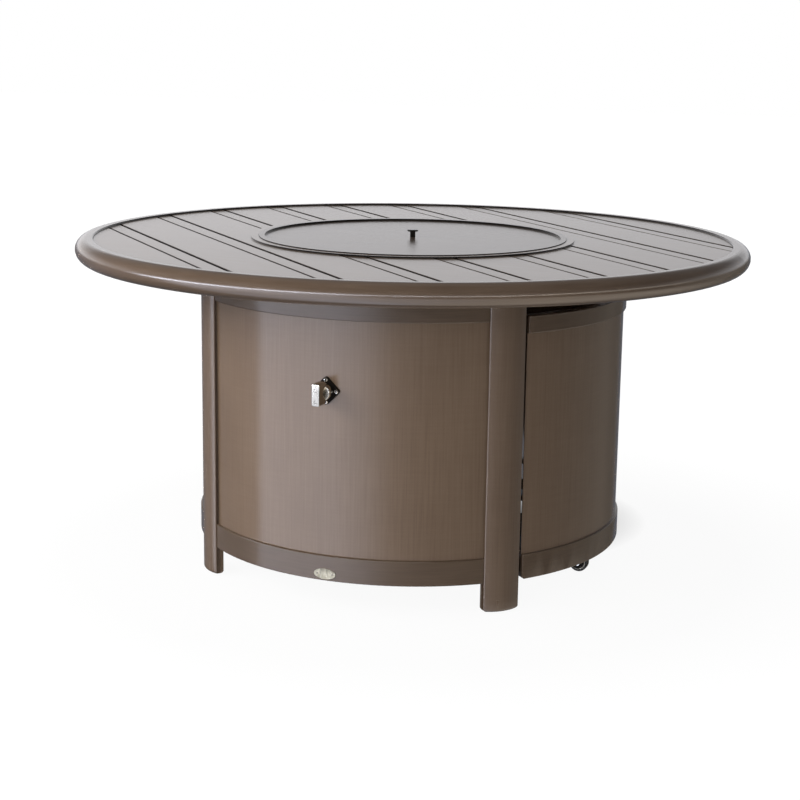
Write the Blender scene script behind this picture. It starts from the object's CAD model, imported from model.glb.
import bpy
import math
from mathutils import Matrix, Vector


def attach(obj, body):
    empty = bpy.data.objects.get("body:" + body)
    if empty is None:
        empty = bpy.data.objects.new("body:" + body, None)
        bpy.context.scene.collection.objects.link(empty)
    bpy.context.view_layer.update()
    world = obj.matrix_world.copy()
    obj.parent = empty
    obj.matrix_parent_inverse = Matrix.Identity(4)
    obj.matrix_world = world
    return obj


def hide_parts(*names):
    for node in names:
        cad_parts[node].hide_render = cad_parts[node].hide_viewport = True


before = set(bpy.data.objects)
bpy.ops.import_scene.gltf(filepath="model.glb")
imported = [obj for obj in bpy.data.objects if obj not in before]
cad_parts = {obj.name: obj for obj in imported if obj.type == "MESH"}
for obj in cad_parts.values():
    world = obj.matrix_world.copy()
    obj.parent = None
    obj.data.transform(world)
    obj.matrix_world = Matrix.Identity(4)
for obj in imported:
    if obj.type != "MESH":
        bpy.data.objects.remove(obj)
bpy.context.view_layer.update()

# Legs. Four aluminium extrusions with an arched face, brushed along their length and powder coated in
# a translucent bronze, so that the grain of the brushing still shows. Each is bolted up to the top's ring.


def paint(hex_code):
    """sRGB hex to linear RGBA, as the shader sockets want it."""
    parts = [int(hex_code[i:i + 2], 16) / 255 for i in (1, 3, 5)]
    return tuple(c / 12.92 if c <= 0.04045 else ((c + 0.055) / 1.055) ** 2.4 for c in parts) + (1.0,)


def put(tree, kind, settings=None, links=None):
    """Adds one node, sets its properties and input values, and feeds inputs from other sockets."""
    node = tree.nodes.new("ShaderNode" + kind)
    for key, value in (settings or {}).items():
        if isinstance(key, str) and hasattr(node, key):
            setattr(node, key, value)
        else:
            node.inputs[key].default_value = value
    for key, socket in (links or {}).items():
        tree.links.new(socket, node.inputs[key])
    return node


def new_material(name):
    """An empty node material with its tree, its shader and the place on the object."""
    material = bpy.data.materials.new(name)
    material.use_nodes = True
    tree = material.node_tree
    return material, tree, tree.nodes["Principled BSDF"], put(tree, "TexCoord").outputs["Object"]


def dress(material, *names):
    """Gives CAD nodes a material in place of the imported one."""
    for name in names:
        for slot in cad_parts[name].material_slots:
            slot.material = material


def tint(tree, shader, factor, low, high, tones):
    """Colours a shader between a dark and a light tone of one finish."""
    ramp = put(tree, "ValToRGB", None, {"Fac": factor})
    for stop, position, tone in zip(ramp.color_ramp.elements, (low, high), tones):
        stop.position, stop.color = position, paint(tone)
    tree.links.new(ramp.outputs["Color"], shader.inputs["Base Color"])
    return ramp.outputs["Color"]


def rough(tree, shader, factor, smooth, dull):
    """Varies a shader's roughness with a pattern."""
    level = put(tree, "MapRange", {"From Min": 0.3, "From Max": 0.7, "To Min": smooth, "To Max": dull},
                {"Value": factor}).outputs["Result"]
    tree.links.new(level, shader.inputs["Roughness"])
    return level


def radius_of(tree, place):
    """The place flattened to the floor, and its distance from the table's upright middle line."""
    flat = put(tree, "VectorMath", {"operation": "MULTIPLY", 1: (1, 1, 0)}, {0: place}).outputs[0]
    return flat, put(tree, "VectorMath", {"operation": "LENGTH"}, {0: flat}).outputs["Value"]


def bronze_powder_coat(name, grain, base_rough, coat_rough, coat_ior, crevice=None,
                       tones=("#614f40", "#776453")):
    """Bronze powder coat over brushed aluminium: a warm brown with fine brush marks under a clear, slightly
    uneven skin. The marks are under 1 mm wide and are drawn 3 mm wide, so that they show at this size.
    grain is the way they run, tones are the coat's dark and light brown, and crevice, if given, is where
    the coat stays dark and dull: (way, deep, open)."""
    mark_mm, upright_mark_mm, slat_mark_mm, weft_mm, cloud_mm, peel_mm = 3.03, 143, 167, 71.4, 143, 2.63
    fine, wide = 1000 / mark_mm, 1000 / weft_mm
    material, tree, shader, place = new_material(name)
    flat, reach = radius_of(tree, place)
    level = put(tree, "SeparateXYZ", None, {0: place}).outputs["Z"]
    if grain == "round":
        heading = put(tree, "VectorMath", {"operation": "NORMALIZE"}, {0: flat}).outputs[0]
        turn = put(tree, "VectorMath", {"operation": "SCALE", "Scale": 5.0}, {0: heading}).outputs[0]
        far = put(tree, "Math", {"operation": "ADD"}, {0: reach, 1: level}).outputs[0]
        climb = put(tree, "Math", {"operation": "MULTIPLY", 1: fine}, {0: far}).outputs[0]
        lift = put(tree, "CombineXYZ", None, {"Z": climb}).outputs[0]
        run = put(tree, "VectorMath", {"operation": "ADD"}, {0: turn, 1: lift}).outputs[0]
    elif grain == "slats":
        run = put(tree, "Mapping", {"Rotation": (0, 0, math.radians(45)),
                                    "Scale": (1000 / slat_mark_mm, fine, fine)},
                  {"Vector": place}).outputs[0]
    else:
        run = put(tree, "Mapping", {"Scale": (fine, fine, 1000 / upright_mark_mm)},
                  {"Vector": place}).outputs[0]
    marks = put(tree, "TexNoise", {"Scale": 1.0, "Detail": 3.0, "Roughness": 0.6},
                {"Vector": run}).outputs["Fac"]
    clouds = put(tree, "TexNoise", {"Scale": 1000 / cloud_mm, "Detail": 2.0},
                 {"Vector": place}).outputs["Fac"]
    across = put(tree, "Mapping", {"Scale": (wide, wide, fine)}, {"Vector": place}).outputs[0]
    weft = put(tree, "TexNoise", {"Scale": 1.0, "Detail": 2.0}, {"Vector": across}).outputs["Fac"]
    both = put(tree, "Mix", {"Factor": 0.35}, {2: marks, 3: clouds}).outputs[0]
    woven = put(tree, "Mix", {"Factor": 0.15}, {2: both, 3: weft}).outputs[0]
    colour = tint(tree, shader, woven, 0.25, 0.75, tones)
    dull = rough(tree, shader, marks, base_rough - 0.04, base_rough + 0.05)
    if crevice:
        way, deep, clear = crevice
        lean = put(tree, "SeparateXYZ", None, {0: put(tree, "TexCoord").outputs["Normal"]}).outputs["Z"]
        wall = put(tree, "Math", {"operation": "ABSOLUTE"}, {0: lean}).outputs[0]
        measure = {"wall": wall, "radius": reach}[way]
        seen = put(tree, "MapRange", {"From Min": deep, "From Max": clear},
                   {"Value": measure}).outputs["Result"]
        black = put(tree, "Mix", {"data_type": "RGBA", 6: paint("#100c0a")}, {0: seen, 7: colour})
        tree.links.new(black.outputs[2], shader.inputs["Base Color"])
        matt = put(tree, "Mix", {2: 0.9}, {0: seen, 3: dull})
        tree.links.new(matt.outputs[0], shader.inputs["Roughness"])
    peel = put(tree, "TexNoise", {"Scale": 1000 / peel_mm, "Detail": 2.0}, {"Vector": place}).outputs["Fac"]
    relief = put(tree, "Bump", {"Strength": 0.1, "Distance": 0.0006}, {"Height": peel})
    tree.links.new(relief.outputs["Normal"], shader.inputs["Normal"])
    shader.inputs["Specular IOR Level"].default_value = 0.25
    shader.inputs["Coat Weight"].default_value = 1.0
    shader.inputs["Coat Roughness"].default_value = coat_rough
    shader.inputs["Coat IOR"].default_value = coat_ior
    return material


corners = ("front_right", "back_right", "back_left", "front_left")
leg_coat = bronze_powder_coat("bronze powder coat on the legs", "up", 0.45, 0.13, 1.5,
                              tones=("#5a493c", "#6e5d4e"))
dress(leg_coat, *("leg_" + corner for corner in corners))

# Feet. A moulded glide plugged into each leg, with the leg's outline and well rounded lower edges.
# The moulding is dyed and painted to the bronze of the legs.


def alone(piece):
    """Makes a piece the only selected one, and the active one."""
    bpy.ops.object.select_all(action="DESELECT")
    piece.select_set(True)
    bpy.context.view_layer.objects.active = piece
    return piece


def twin_of(piece, name):
    """A copy of a piece with its own mesh, alone in the selection."""
    twin = bpy.data.objects.new(name, piece.data.copy())
    bpy.context.scene.collection.objects.link(twin)
    return alone(twin)


def copy_of(node, name):
    """A merged copy of a CAD node's mesh, alone in the selection."""
    piece = twin_of(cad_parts[node], name)
    bpy.ops.object.mode_set(mode="EDIT")
    bpy.ops.mesh.select_all(action="SELECT")
    bpy.ops.mesh.remove_doubles(threshold=0.00001)
    bpy.ops.mesh.dissolve_limited(angle_limit=math.radians(0.3))
    bpy.ops.object.mode_set(mode="OBJECT")
    return piece


def settle(piece):
    """Puts a piece's place and size into its mesh."""
    bpy.ops.object.transform_apply(location=True, rotation=True, scale=True)
    return piece


def start(primitive, **settings):
    """Adds a primitive, alone in the selection, with its place and size in its mesh."""
    bpy.ops.object.select_all(action="DESELECT")
    primitive(**settings)
    return settle(bpy.context.object)


def pick(piece, kind, test):
    """Selects the faces or edges of a piece that pass a test, and leaves it in edit mode."""
    bpy.ops.object.mode_set(mode="EDIT")
    bpy.ops.mesh.select_mode(type=kind)
    bpy.ops.mesh.select_all(action="DESELECT")
    bpy.ops.object.mode_set(mode="OBJECT")
    points = piece.data.vertices
    if kind == "EDGE":
        for edge in piece.data.edges:
            edge.select = test(points[edge.vertices[0]].co, points[edge.vertices[1]].co)
    else:
        for face in piece.data.polygons:
            face.select = test(face.center, face.normal)
    bpy.ops.object.mode_set(mode="EDIT")


def keep_inside(piece, mould):
    """Keeps the part of a piece that lies inside another, which is then thrown away."""
    cut = alone(piece).modifiers.new("cut", "BOOLEAN")
    cut.operation, cut.object = "INTERSECT", mould
    bpy.ops.object.modifier_apply(modifier="cut")
    bpy.data.objects.remove(mould)


def fit(piece, name, material, body, slot, *nodes):
    """Smooths and paints a finished piece and puts it on its body, in place of CAD nodes."""
    bpy.ops.object.mode_set(mode="OBJECT")
    bpy.ops.object.shade_smooth_by_angle(angle=math.radians(35))
    piece.name = name
    if material:
        piece.data.materials.clear()
        piece.data.materials.append(material)
    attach(piece, body)
    if nodes:
        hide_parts(*nodes)
    return piece


# A speck is the tenth of a millimetre that tests of place allow.
speck = 0.0001
arch_radius, arch_middle, arch_length, arch_level = 0.0703, 0.3815, 0.12, 0.04
mould_middle, mould_depth, mould_width, mould_height = 0.4448, 0.04, 0.0744, 0.0711
foot_round, round_steps = 0.009, 6
mould_base = foot_round - speck
foot = copy_of("glide_front_right", "foot_front_right")
arch = start(bpy.ops.mesh.primitive_cylinder_add, vertices=40, radius=arch_radius, depth=arch_length,
             location=(arch_middle, 0, arch_level))
mould = start(bpy.ops.mesh.primitive_cube_add, size=1,
              location=(mould_middle, 0, mould_base + mould_height / 2),
              scale=(mould_depth, mould_width, mould_height))
keep_inside(mould, arch)
pick(mould, "FACE", lambda c, n: n.z < -0.99)
for step in range(round_steps):
    begin, end = (math.radians(90 * count / round_steps) for count in (step, step + 1))
    bpy.ops.mesh.inset(thickness=foot_round * (math.cos(begin) - math.cos(end)),
                       depth=foot_round * (math.sin(end) - math.sin(begin)))
bpy.ops.object.mode_set(mode="OBJECT")
mould.rotation_euler.z = math.radians(-45)
settle(mould)
keep_inside(foot, mould)
feet = [foot]
for turn, corner in enumerate(corners[1:], 1):
    twin = twin_of(foot, "foot_" + corner)
    twin.rotation_euler.z = math.radians(90 * turn)
    feet.append(settle(twin))
for piece, corner in zip(feet, corners):
    fit(alone(piece), "foot_" + corner, leg_coat, "table", "bronze_coat", "glide_" + corner)

# Rails, aprons and cross bars. Rectangular aluminium tube, rolled to the curve, welded between the legs
# and brushed along its length.
level_coat = bronze_powder_coat("bronze powder coat brushed level", "round", 0.45, 0.12, 1.45,
                                tones=("#4b3c30", "#5c4d3f"))
dress(level_coat, "front_apron", "back_apron", "left_apron", "front_rail", "back_rail", "left_rail",
      "cross_bar_right", "cross_bar_left")

# Panels. Aluminium sheet rolled to the bay's curve and held in grooves in the legs. The sheet is brushed
# upright before it is coated, so its grain runs across that of the rails.
upright_coat = bronze_powder_coat("bronze powder coat brushed upright", "up", 0.45, 0.13, 1.5)
dress(upright_coat, "front_panel", "back_panel", "left_panel")

# Rim. Aluminium bullnose tube rolled into one ring, coated like the base. Its inner wall, above the
# slats, stays in shadow.
rim_coat = bronze_powder_coat("bronze powder coat on the rolled rim", "round", 0.4, 0.16, 1.65,
                              ("radius", 0.6503, 0.6528), ("#524235", "#665547"))
dress(rim_coat, "rim_ring")

# Slats. Hollow extrusions laid along one diagonal, wide and narrow in turn, screwed down to a ring.
# The coat is thin on the walls of the gaps, which read as dark lines.
slat_coat = bronze_powder_coat("bronze powder coat brushed along the slats", "slats", 0.4, 0.2, 1.65,
                               ("wall", 0.6, 0.98))
dress(slat_coat, "wide_slats", "notched_slat_left", "notched_slat_right", "narrow_slats")
hidden_coat = bronze_powder_coat("bronze powder coat under the top", "round", 0.6, 0.4, 1.45)
dress(hidden_coat, "mounting_ring")

# Fixings, runners and slide bars. Galvanised steel, passivated black, so that they stay dark behind the
# gaps. The spangle of zinc crystals, 9 mm across, still shows through.
spangle_mm = 9.09
zinc, tree, shader, place = new_material("galvanised steel passivated black")
spangle = put(tree, "TexVoronoi", {"Scale": 1000 / spangle_mm}, {"Vector": place}).outputs["Color"]
shade = put(tree, "RGBToBW", None, {"Color": spangle}).outputs[0]
tint(tree, shader, shade, 0.0, 1.0, ("#2e3133", "#44484a"))
rough(tree, shader, shade, 0.34, 0.5)
shader.inputs["Metallic"].default_value = 1.0
dress(zinc, "slat_screws", "leg_bolts", "runner_front", "runner_back", "slide_bar_front", "slide_bar_back",
      "spring_cup", "lid_screw")

# Fire bowl. Spun steel pan with a flat flange that rests on the slats, coated like the top. Its
# upright walls, inside and out, are dull and dark.
bowl_coat = bronze_powder_coat("bronze powder coat on the bowl", "round", 0.4, 0.2, 1.65, ("wall", 0.3, 0.9))
dress(bowl_coat, "fire_bowl")

# Burner. Two stainless rings on cross tubes over a hub that a nut clamps to the bowl's floor. The gas
# ports are a row of 2.4 mm holes along the top of each ring, drawn as dark dots.


def grained(name, grain_mm, detail, tones, smooth, dull, metallic=0.0):
    """A plain finish with a fine grain of its own, from tools, a mould or wear, that breaks its tone and
    gloss. The real grain is finer than grain_mm, and is drawn this coarse so that it shows. Returns the
    material with its tree, shader, place and colour."""
    material, tree, shader, place = new_material(name)
    grain = put(tree, "TexNoise", {"Scale": 1000 / grain_mm, "Detail": detail},
                {"Vector": place}).outputs["Fac"]
    colour = tint(tree, shader, grain, 0.3, 0.7, tones)
    rough(tree, shader, grain, smooth, dull)
    shader.inputs["Metallic"].default_value = metallic
    return material, tree, shader, place, colour


steel_tones = ("#a39d94", "#c9c4bc")
stainless = grained("stainless steel tube", 3.33, 3.0, steel_tones, 0.24, 0.38, 1.0)[0]
dress(stainless, "valve_spring", "valve_stem")
outer_ring, inner_ring, ring_top = 0.15, 0.075, 0.593
ports, port_radius = 60, 0.0012
ported, tree, shader, place, steel = grained("drilled stainless steel tube", 3.33, 3.0, steel_tones,
                                             0.24, 0.38, 1.0)
flat, reach = radius_of(tree, place)
angle = put(tree, "TexGradient", {"gradient_type": "RADIAL"}, {"Vector": place}).outputs["Fac"]
count = put(tree, "Math", {"operation": "MULTIPLY", 1: ports}, {0: angle}).outputs[0]
swing = put(tree, "Math", {"operation": "PINGPONG", 1: 0.5}, {0: count}).outputs[0]
arc = put(tree, "Math", {"operation": "MULTIPLY"}, {0: swing, 1: reach}).outputs[0]
along = put(tree, "Math", {"operation": "MULTIPLY", 1: 2 * math.pi / ports}, {0: arc}).outputs[0]
offsets = []
for ring in (outer_ring, inner_ring):
    past = put(tree, "Math", {"operation": "SUBTRACT", 1: ring}, {0: reach}).outputs[0]
    offsets.append(put(tree, "Math", {"operation": "ABSOLUTE"}, {0: past}).outputs[0])
across = put(tree, "Math", {"operation": "MINIMUM"}, {0: offsets[0], 1: offsets[1]}).outputs[0]
spot = put(tree, "CombineXYZ", None, {"X": along, "Y": across}).outputs[0]
away = put(tree, "VectorMath", {"operation": "LENGTH"}, {0: spot}).outputs["Value"]
level = put(tree, "SeparateXYZ", None, {0: place}).outputs["Z"]
hole = put(tree, "Math", {"operation": "LESS_THAN", 1: port_radius}, {0: away}).outputs[0]
on_top = put(tree, "Math", {"operation": "GREATER_THAN", 1: ring_top}, {0: level}).outputs[0]
port = put(tree, "Math", {"operation": "MULTIPLY"}, {0: hole, 1: on_top}).outputs[0]
pierced = put(tree, "Mix", {"data_type": "RGBA", 7: paint("#0b0a09")}, {0: port, 6: steel})
tree.links.new(pierced.outputs[2], shader.inputs["Base Color"])
dress(ported, "burner")

# Gas pipe, valve and lock nut. Plain brass, drawn and turned, and screwed together under the bowl. Fine
# tool marks soften its shine.
brass = grained("turned brass", 3.85, 3.0, ("#b2904f", "#cfae6c"), 0.2, 0.36, 1.0)[0]
dress(brass, "burner_nut", "feed_pipe", "valve_body")

# Bezel. A moulded black plate standing on one corner behind the knob, its front edge lightly bevelled.
# The mould's fine spark-eroded grain gives it a soft, broken gloss.
knob_level, bezel_front, bezel_holes_reach, bezel_bevel = 0.427, -0.439, 0.0255, 0.0008
plastic, tree, shader, place, colour = grained("black ABS", 1.11, 2.0, ("#0f0d0b", "#1c1815"), 0.4, 0.52)
shader.inputs["Specular IOR Level"].default_value = 0.05
bezel = copy_of("bezel", "bezel_plate")
pick(bezel, "EDGE", lambda a, b: max(a.y, b.y) < bezel_front + speck and
     min(abs(p.x) + abs(p.z - knob_level) for p in (a, b)) > bezel_holes_reach)
bpy.ops.mesh.bevel(offset=bezel_bevel, segments=2)
fit(bezel, "bezel_plate", plastic, "table", "black_plastic", "bezel")

# Bezel screws. Four chromed steel dome heads with a sunk socket, one at each corner of the bezel, which
# they hold to the panel. The plating is bright and a little wiped.


def join(main, *others):
    """Makes one piece of several and leaves it alone in the selection."""
    alone(main)
    for piece in others:
        piece.select_set(True)
    bpy.ops.object.join()
    return main


facing = (math.pi / 2, 0, 0)
head_radius, head_depth, head_dome, head_circle = 0.0042, 0.0028, 0.0024, 0.021
socket_lip, socket_depth = 0.0003, 0.0016
socket_radius = head_radius - head_dome - socket_lip
head_front = bezel_front - head_depth
chrome = grained("chrome plate", 5.56, 4.0, ("#cfccc5", "#e6e4df"), 0.12, 0.24, 1.0)[0]
head = start(bpy.ops.mesh.primitive_cylinder_add, vertices=36, radius=head_radius, depth=head_depth,
             location=(0, bezel_front - head_depth / 2, knob_level), rotation=facing)
pick(head, "EDGE", lambda a, b: max(a.y, b.y) < head_front + speck)
bpy.ops.mesh.bevel(offset=head_dome, segments=6)
pick(head, "FACE", lambda c, n: n.y < -0.99)
bpy.ops.mesh.inset(thickness=socket_lip)
bpy.ops.mesh.extrude_region_move(TRANSFORM_OT_translate={"value": (0, socket_depth, 0)})
bpy.ops.object.mode_set(mode="OBJECT")
head.data.materials.append(chrome)
head.data.materials.append(plastic)
for face in head.data.polygons:
    inside = math.hypot(face.center.x, face.center.z - knob_level) < socket_radius + speck / 2
    face.material_index = 1 if inside else 0
heads = [head] + [twin_of(head, "bezel_screw_head") for _ in range(3)]
for turn, piece in enumerate(heads):
    side = math.radians(90 * turn)
    alone(piece).location = (head_circle * math.cos(side), 0, head_circle * math.sin(side))
    settle(piece)
fit(join(*heads), "bezel_screw_heads", None, "table", "chrome", "bezel_screws")

# Control knob. A plated die casting: an upright bar on a round hub, both softly rounded. It is pushed in
# and turned, and the bar's face carries plain marks for off, high and light, filled with black.
hub_radius, hub_depth, hub_middle, hub_round = 0.016, 0.013, -0.452, 0.002
bar_corner, bar_edge = 0.0032, 0.0012
bar_width, bar_depth, bar_height, bar_front = 0.016, 0.0282, 0.042, -0.4865
plated = grained("satin nickel plate", 4.55, 4.0, ("#aaa59a", "#b5b0a6"), 0.12, 0.18, 1.0)[0]
hub = start(bpy.ops.mesh.primitive_cylinder_add, vertices=64, radius=hub_radius, depth=hub_depth,
            location=(0, hub_middle, knob_level), rotation=facing)
pick(hub, "EDGE", lambda a, b: max(a.y, b.y) < hub_middle - hub_depth / 2 + speck)
bpy.ops.mesh.bevel(offset=hub_round, segments=4)
bpy.ops.object.mode_set(mode="OBJECT")
bar = start(bpy.ops.mesh.primitive_cube_add, size=1, location=(0, bar_front + bar_depth / 2, knob_level),
            scale=(bar_width, bar_depth, bar_height))
pick(bar, "EDGE", lambda a, b: abs(a.y - b.y) > bar_depth / 2)
bpy.ops.mesh.bevel(offset=bar_corner, segments=5)
pick(bar, "EDGE", lambda a, b: max(a.y, b.y) < bar_front + speck)
bpy.ops.mesh.bevel(offset=bar_edge, segments=3)
bpy.ops.object.mode_set(mode="OBJECT")
fit(join(bar, hub), "knob_casting", plated, "turn", "chrome", "control_knob")
line_radius, arc_cut = 0.00045, 0.0012
dot_radius, dot_depth, dot_lift, dot_round = 0.0009, 0.0005, 0.0165, 0.0002
ink = grained("black fill paint", 0.714, 2.0, ("#3f3b37", "#5b5651"), 0.5, 0.65)[0]
dot = start(bpy.ops.mesh.primitive_cylinder_add, vertices=20, radius=dot_radius, depth=dot_depth,
            location=(0, bar_front - speck / 2, knob_level + dot_lift), rotation=facing)
pick(dot, "EDGE", lambda a, b: max(a.y, b.y) < bar_front - dot_depth / 2 + speck / 2)
bpy.ops.mesh.bevel(offset=dot_round, segments=2)
bpy.ops.object.mode_set(mode="OBJECT")
arcs = []
for lift, arc_radius in ((0.0085, 0.0032), (-0.0125, 0.0028)):
    arcs.append(start(bpy.ops.mesh.primitive_torus_add, major_segments=36, minor_segments=8,
                      major_radius=arc_radius, minor_radius=line_radius,
                      location=(0, bar_front, knob_level + lift), rotation=facing))
    bpy.ops.object.mode_set(mode="EDIT")
    bpy.ops.mesh.select_all(action="SELECT")
    bpy.ops.mesh.bisect(plane_co=(arc_cut, 0, knob_level + lift), plane_no=(0.9, 0, 0.45), use_fill=True,
                        clear_outer=True)
    bpy.ops.object.mode_set(mode="OBJECT")
fit(join(dot, *arcs), "knob_marks", ink, "turn", "black_plastic")

# Badge. A stamped oval on the front bottom rail, held by two pins. Its field is sunk inside a plain
# raised border and left bare.
pewter = grained("satin pewter plate", 2.38, 4.0, ("#c2bdad", "#cec9ba"), 0.44, 0.52, 0.3)[0]
border_width, field_depth = 0.0013, 0.0006
badge = copy_of("badge", "badge_plate")
pick(badge, "FACE", lambda c, n: n.y < -0.9)
bpy.ops.mesh.inset(thickness=border_width, depth=-field_depth)
fit(badge, "badge_plate", pewter, "table", "chrome", "badge")
dress(plastic, "badge_pins")

# Drawer front. Rails and panel as on the fixed bays, standing a little prouder. The ends of the rails are
# capped, the caps' edges are rounded over, and the bottom rail's lower corners are rounded more.


def along_bay(a, b, side, gap):
    """Whether an edge lies in the upright plane at a gap from one of the bay's two diagonals."""
    return all(abs((point.x - side * point.y) / math.sqrt(2) - gap) < speck for point in (a, b))


cap_edge, cap_round, corner_round = 0.044, 0.0014, 0.008
block_edge, block_base = cap_edge - 2 * speck, 0.0568
block_depth, block_width, block_height = 0.7, 1.4, 0.1
for node in ("drawer_top_rail", "drawer_bottom_rail"):
    rail = copy_of(node, node + "_capped")
    for side in (1, -1):
        pick(rail, "EDGE", lambda a, b: along_bay(a, b, side, cap_edge))
        bpy.ops.mesh.bevel(offset=cap_round, segments=3)
    bpy.ops.object.mode_set(mode="OBJECT")
    if node == "drawer_bottom_rail":
        block = start(bpy.ops.mesh.primitive_cube_add, size=1,
                      location=(block_depth / 2, 0, block_base + block_height / 2),
                      scale=(block_depth, block_width, block_height))
        for side in (1, -1):
            bpy.ops.object.mode_set(mode="EDIT")
            bpy.ops.mesh.select_all(action="SELECT")
            bpy.ops.mesh.bisect(plane_co=(block_edge * math.sqrt(2), 0, 0), plane_no=(1, -side, 0),
                                use_fill=True, clear_inner=True)
        pick(block, "EDGE", lambda a, b: max(a.z, b.z) < block_base + speck and
             any(along_bay(a, b, side, block_edge) for side in (1, -1)))
        bpy.ops.mesh.bevel(offset=corner_round, segments=6)
        bpy.ops.object.mode_set(mode="OBJECT")
        keep_inside(rail, block)
    fit(rail, node + "_capped", level_coat, "drawer", "bronze_coat", node)
dress(upright_coat, "drawer_panel")

# Tank tray. Folded galvanised sheet with a collar for the tank's foot, fixed behind the drawer's front. A
# post under it stands on a small caster.
dress(zinc, "drawer_tray", "tank_collar", "caster_post")

# Caster. A black rubber tyre, slightly dusty, on a black nylon hub with a bright ring. It
# turns on a bright steel axle in a moulded black fork.
rubber = grained("black rubber", 4.17, 4.0, ("#161514", "#2b2927"), 0.6, 0.8)[0]
dress(rubber, "tyre")
dress(plastic, "caster_fork")
dress(chrome, "caster_axle")
axle_place, ring_inside, ring_outside = (0.382, 0, 0.0197), 0.0124, 0.0127
hub_coat, tree, shader, place, nylon = grained("black nylon with a bright hub ring", 3.33, 3.0,
                                               ("#1d1a17", "#322d28"), 0.35, 0.5)
middle = put(tree, "VectorMath", {"operation": "SUBTRACT", 1: axle_place}, {0: place}).outputs[0]
flat = put(tree, "VectorMath", {"operation": "MULTIPLY", 1: (1, 0, 1)}, {0: middle}).outputs[0]
reach = put(tree, "VectorMath", {"operation": "LENGTH"}, {0: flat}).outputs["Value"]
ring = put(tree, "MapRange", {"From Min": ring_inside, "From Max": ring_outside},
           {"Value": reach}).outputs["Result"]
bright = put(tree, "Mix", {"data_type": "RGBA", 7: paint("#c2bdb3")}, {0: ring, 6: nylon})
tree.links.new(bright.outputs[2], shader.inputs["Base Color"])
dress(hub_coat, "wheel_hub")

# Lid. A spun aluminium disc with a shallow recess, coated like the slats. The step of the recess is dull
# and dark, and a turned knob in black chrome is screwed to the middle.
lid_coat = bronze_powder_coat("bronze powder coat brushed across the lid", "slats", 0.4, 0.2, 1.42,
                              ("wall", 0.3, 0.9), ("#4a3b30", "#5b4c3f"))
dress(lid_coat, "lid_plate")
stem_radius, stem_height, stem_base = 0.0055, 0.0115, 0.667
flare, button_depth, button_scale, button_round = 0.0003, 0.0032, 2, 0.0007
button_base = stem_base + stem_height + flare
black_chrome = grained("black chrome", 5.0, 4.0, ("#2f2c29", "#4b4743"), 0.14, 0.26, 1.0)[0]
lifter = start(bpy.ops.mesh.primitive_cylinder_add, vertices=48, radius=stem_radius, depth=stem_height,
               location=(0, 0, stem_base + stem_height / 2))
pick(lifter, "FACE", lambda c, n: n.z > 0.99)
bpy.ops.mesh.extrude_region_move(TRANSFORM_OT_translate={"value": (0, 0, flare)})
bpy.ops.transform.resize(value=(button_scale, button_scale, 1))
bpy.ops.mesh.extrude_region_move(TRANSFORM_OT_translate={"value": (0, 0, button_depth)})
pick(lifter, "EDGE", lambda a, b: min(a.z, b.z) > button_base - speck and
     min(a.xy.length, b.xy.length) > button_scale * stem_radius - 10 * speck)
bpy.ops.mesh.bevel(offset=button_round, segments=3)
fit(lifter, "lid_knob_turned", black_chrome, "lid", "black_chrome", "lid_knob")

# Studio. A white floor that keeps the table's soft shadow, deepest behind the base, and a white surround
# that is dim overhead and warmer at the right. It mirrors a bright field low at the front left, with a thin
# brighter line just under the horizon. A wide window at the left and a weak fill from the front light it.
floor_size, shade_middle, shade_inside, shade_outside, floor_share = 40, (0.08, 0.3, 0), 0.05, 0.36, 0.8
floor = start(bpy.ops.mesh.primitive_plane_add, size=floor_size, location=(0, 0, 0))
floor.name = "floor"
floor.visible_glossy = False
floor_paint, tree, shader, place = new_material("white floor")
shader.inputs["Base Color"].default_value = (0.3, 0.3, 0.3, 1)
shader.inputs["Roughness"].default_value = 0.9
flat, reach = radius_of(tree, place)
shine = put(tree, "MapRange", {"From Min": 0.7, "From Max": 1.5, "To Min": 1.17, "To Max": 1.27},
            {"Value": reach}).outputs["Result"]
white = put(tree, "Emission", None, {"Strength": shine})
away = put(tree, "VectorMath", {"operation": "DISTANCE", 1: shade_middle}, {0: place}).outputs["Value"]
open_floor = put(tree, "MapRange", {"From Min": shade_inside, "From Max": shade_outside},
                 {"Value": away}).outputs["Result"]
direct = put(tree, "LightPath").outputs["Is Camera Ray"]
seen = put(tree, "Math", {"operation": "MULTIPLY"}, {0: direct, 1: open_floor}).outputs[0]
share = put(tree, "Math", {"operation": "MULTIPLY", 1: floor_share}, {0: seen}).outputs[0]
mix = put(tree, "MixShader", None, {"Fac": share, 1: shader.outputs[0], 2: white.outputs[0]})
tree.links.new(mix.outputs[0], tree.nodes["Material Output"].inputs["Surface"])
floor.data.materials.append(floor_paint)

world = bpy.data.worlds.new("studio")
bpy.context.scene.world = world
world.use_nodes = True
world.cycles.sampling_method = "NONE"
tree = world.node_tree
way = put(tree, "SeparateXYZ", None, {0: put(tree, "TexCoord").outputs["Generated"]}).outputs
forward = put(tree, "Math", {"operation": "MULTIPLY", 1: -1.0}, {0: way["Y"]}).outputs[0]
turn = put(tree, "Math", {"operation": "ARCTAN2"}, {0: way["X"], 1: forward}).outputs[0]
round_about = put(tree, "MapRange", {"From Min": -math.pi, "From Max": math.pi},
                  {"Value": turn}).outputs["Result"]


def by_angle(*stops):
    """A level that changes with the direction, given as (degrees from the front bay, level) in order."""
    ramp = put(tree, "ValToRGB", None, {"Fac": round_about})
    points = ramp.color_ramp.elements
    while len(points) < len(stops):
        points.new(0.5)
    for point, (degrees, level) in zip(points, stops):
        point.position, point.color = (degrees + 180) / 360, (level, level, level, 1)
    return ramp.outputs["Color"]


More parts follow.
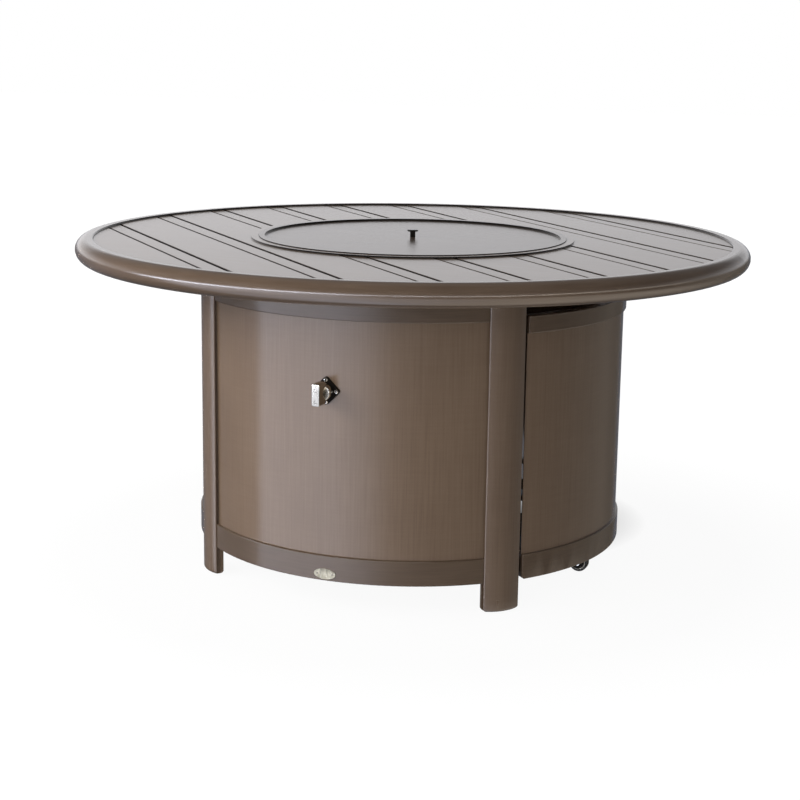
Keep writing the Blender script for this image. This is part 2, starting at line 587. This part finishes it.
low = by_angle((-180, 0.06), (-160, 0.07), (-70, 0.06), (-64, 0.82), (-20, 0.9), (-4, 0.58), (12, 0.12),
               (30, 0.04), (100, 0.04), (125, 0.1), (147, 0.11), (165, 0.045), (180, 0.06))
under = by_angle((-45, 0.0), (-5, 0.3), (20, 0.42), (110, 0.42), (150, 0.1), (180, 0.0))
high = by_angle((-180, 0.28), (-171, 0.33), (-145, 0.41), (-110, 0.34), (-75, 0.16), (20, 0.13), (90, 0.07),
                (180, 0.28))
strip = by_angle((-84, 0.0), (-70, 1.0), (-22, 1.0), (10, 0.4), (60, 0.3), (110, 0.1), (130, 0.0))
warm = by_angle((0, 0.0), (60, 1.0), (170, 1.0), (180, 0.0))
horizon_gap, slit_wide, slit_full, slit_level = 0.03, 0.032, 0.012, 11.0
soft_level, mirrored_level = 0.38, 2.3
dimming = put(tree, "MapRange", {"From Min": 0.09, "From Max": 0.34, "To Min": 1.28, "To Max": 0.2},
              {"Value": way["Z"]}).outputs["Result"]
upper = put(tree, "Math", {"operation": "MULTIPLY"}, {0: high, 1: dimming}).outputs[0]
drop = put(tree, "MapRange", {"From Min": -0.3, "From Max": -0.5}, {"Value": way["Z"]}).outputs["Result"]
deep = put(tree, "Math", {"operation": "MULTIPLY"}, {0: drop, 1: under}).outputs[0]
fade = put(tree, "MapRange", {"From Min": -0.3, "From Max": -0.5, "To Min": 1.0, "To Max": 0.5},
           {"Value": way["Z"]}).outputs["Result"]
shallow = put(tree, "Math", {"operation": "MULTIPLY"}, {0: low, 1: fade}).outputs[0]
lower = put(tree, "Math", {"operation": "ADD"}, {0: deep, 1: shallow}).outputs[0]
above = put(tree, "MapRange", {"From Min": -0.03, "From Max": 0.03}, {"Value": way["Z"]}).outputs["Result"]
level = put(tree, "Mix", None, {0: above, 2: lower, 3: upper}).outputs[0]
raised = put(tree, "Math", {"operation": "ADD", 1: horizon_gap}, {0: way["Z"]}).outputs[0]
dip = put(tree, "Math", {"operation": "ABSOLUTE"}, {0: raised}).outputs[0]
line = put(tree, "MapRange", {"From Min": slit_wide, "From Max": slit_full, "To Max": slit_level},
           {"Value": dip}).outputs["Result"]
slit = put(tree, "Math", {"operation": "MULTIPLY"}, {0: line, 1: strip}).outputs[0]
bright = put(tree, "Math", {"operation": "ADD"}, {0: slit, 1: level}).outputs[0]
glow = put(tree, "Math", {"operation": "MULTIPLY", 1: mirrored_level}, {0: bright}).outputs[0]
side = put(tree, "Mix", {"data_type": "RGBA", 6: (0.92, 0.98, 1.15, 1), 7: (1.1, 0.98, 0.84, 1)},
           {0: warm}).outputs[2]
tone = put(tree, "Mix", {"data_type": "RGBA", 7: (0.98, 0.975, 1.0, 1)}, {0: above, 6: side}).outputs[2]
soft = tree.nodes["Background"]
soft.inputs["Color"].default_value = (1, 1, 1, 1)
soft.inputs["Strength"].default_value = soft_level
mirrored = put(tree, "Background", None, {"Color": tone, "Strength": glow})
plain = put(tree, "Background", {"Color": (1, 1, 1, 1), "Strength": 1.0})
path = put(tree, "LightPath").outputs
glossy = put(tree, "MixShader", None,
             {"Fac": path["Is Glossy Ray"], 1: soft.outputs[0], 2: mirrored.outputs[0]})
clear = put(tree, "Math", {"operation": "MAXIMUM"},
            {0: path["Is Camera Ray"], 1: path["Is Transmission Ray"]}).outputs[0]
mix = put(tree, "MixShader", None, {"Fac": clear, 1: glossy.outputs[0], 2: plain.outputs[0]})
tree.links.new(mix.outputs[0], tree.nodes["World Output"].inputs["Surface"])
base_middle = Vector((0, 0, 0.4))


def softbox(name, azimuth, elevation, distance, width, height, watts):
    """A rectangular lamp aimed at the middle of the base, and hidden from reflections."""
    lamp = bpy.data.lights.new(name, "AREA")
    lamp.shape, lamp.size, lamp.size_y, lamp.energy = "RECTANGLE", width, height, watts
    holder = bpy.data.objects.new(name, lamp)
    bpy.context.scene.collection.objects.link(holder)
    a, e = math.radians(azimuth), math.radians(elevation)
    back = Vector((math.sin(a) * math.cos(e), -math.cos(a) * math.cos(e), math.sin(e)))
    holder.location = base_middle + back * distance
    holder.rotation_euler = (-back).to_track_quat("-Z", "Y").to_euler()
    holder.visible_glossy = False


softbox("window", -57, 24, 4.0, 4.6, 1.3, 160)
softbox("front_fill", 0, 10, 5.0, 3.0, 2.0, 100)

# Camera. Solved from the ellipses of the rim and the bowl, the slats, the legs, the knob and the badge. It
# stands 3.5 m from the table's middle, at 1.1 m, and looks slightly down.
azimuth, distance, height = math.radians(20.945), 3.4978, 1.0862
yaw, pitch, roll = -0.0061, 0.2151, 0.0143
focal_pixels, picture_pixels, sensor = 1698.5, 800, 36
ahead = Vector((math.sin(yaw) * math.cos(pitch), math.cos(yaw) * math.cos(pitch), -math.sin(pitch)))
right = Vector((math.cos(yaw), -math.sin(yaw), 0))
up = right.cross(ahead)
right, up = right * math.cos(roll) + up * math.sin(roll), up * math.cos(roll) - right * math.sin(roll)
pose = Matrix((right, up, -ahead)).transposed().to_4x4()
pose.translation = Vector((0, -distance, height))
lens = bpy.data.cameras.new("camera")
lens.sensor_width = sensor
lens.lens = focal_pixels * sensor / picture_pixels
camera = bpy.data.objects.new("camera", lens)
bpy.context.scene.collection.objects.link(camera)
camera.matrix_world = Matrix.Rotation(azimuth, 4, "Z") @ pose
bpy.context.scene.camera = camera
bpy.context.scene.view_settings.view_transform = "Standard"
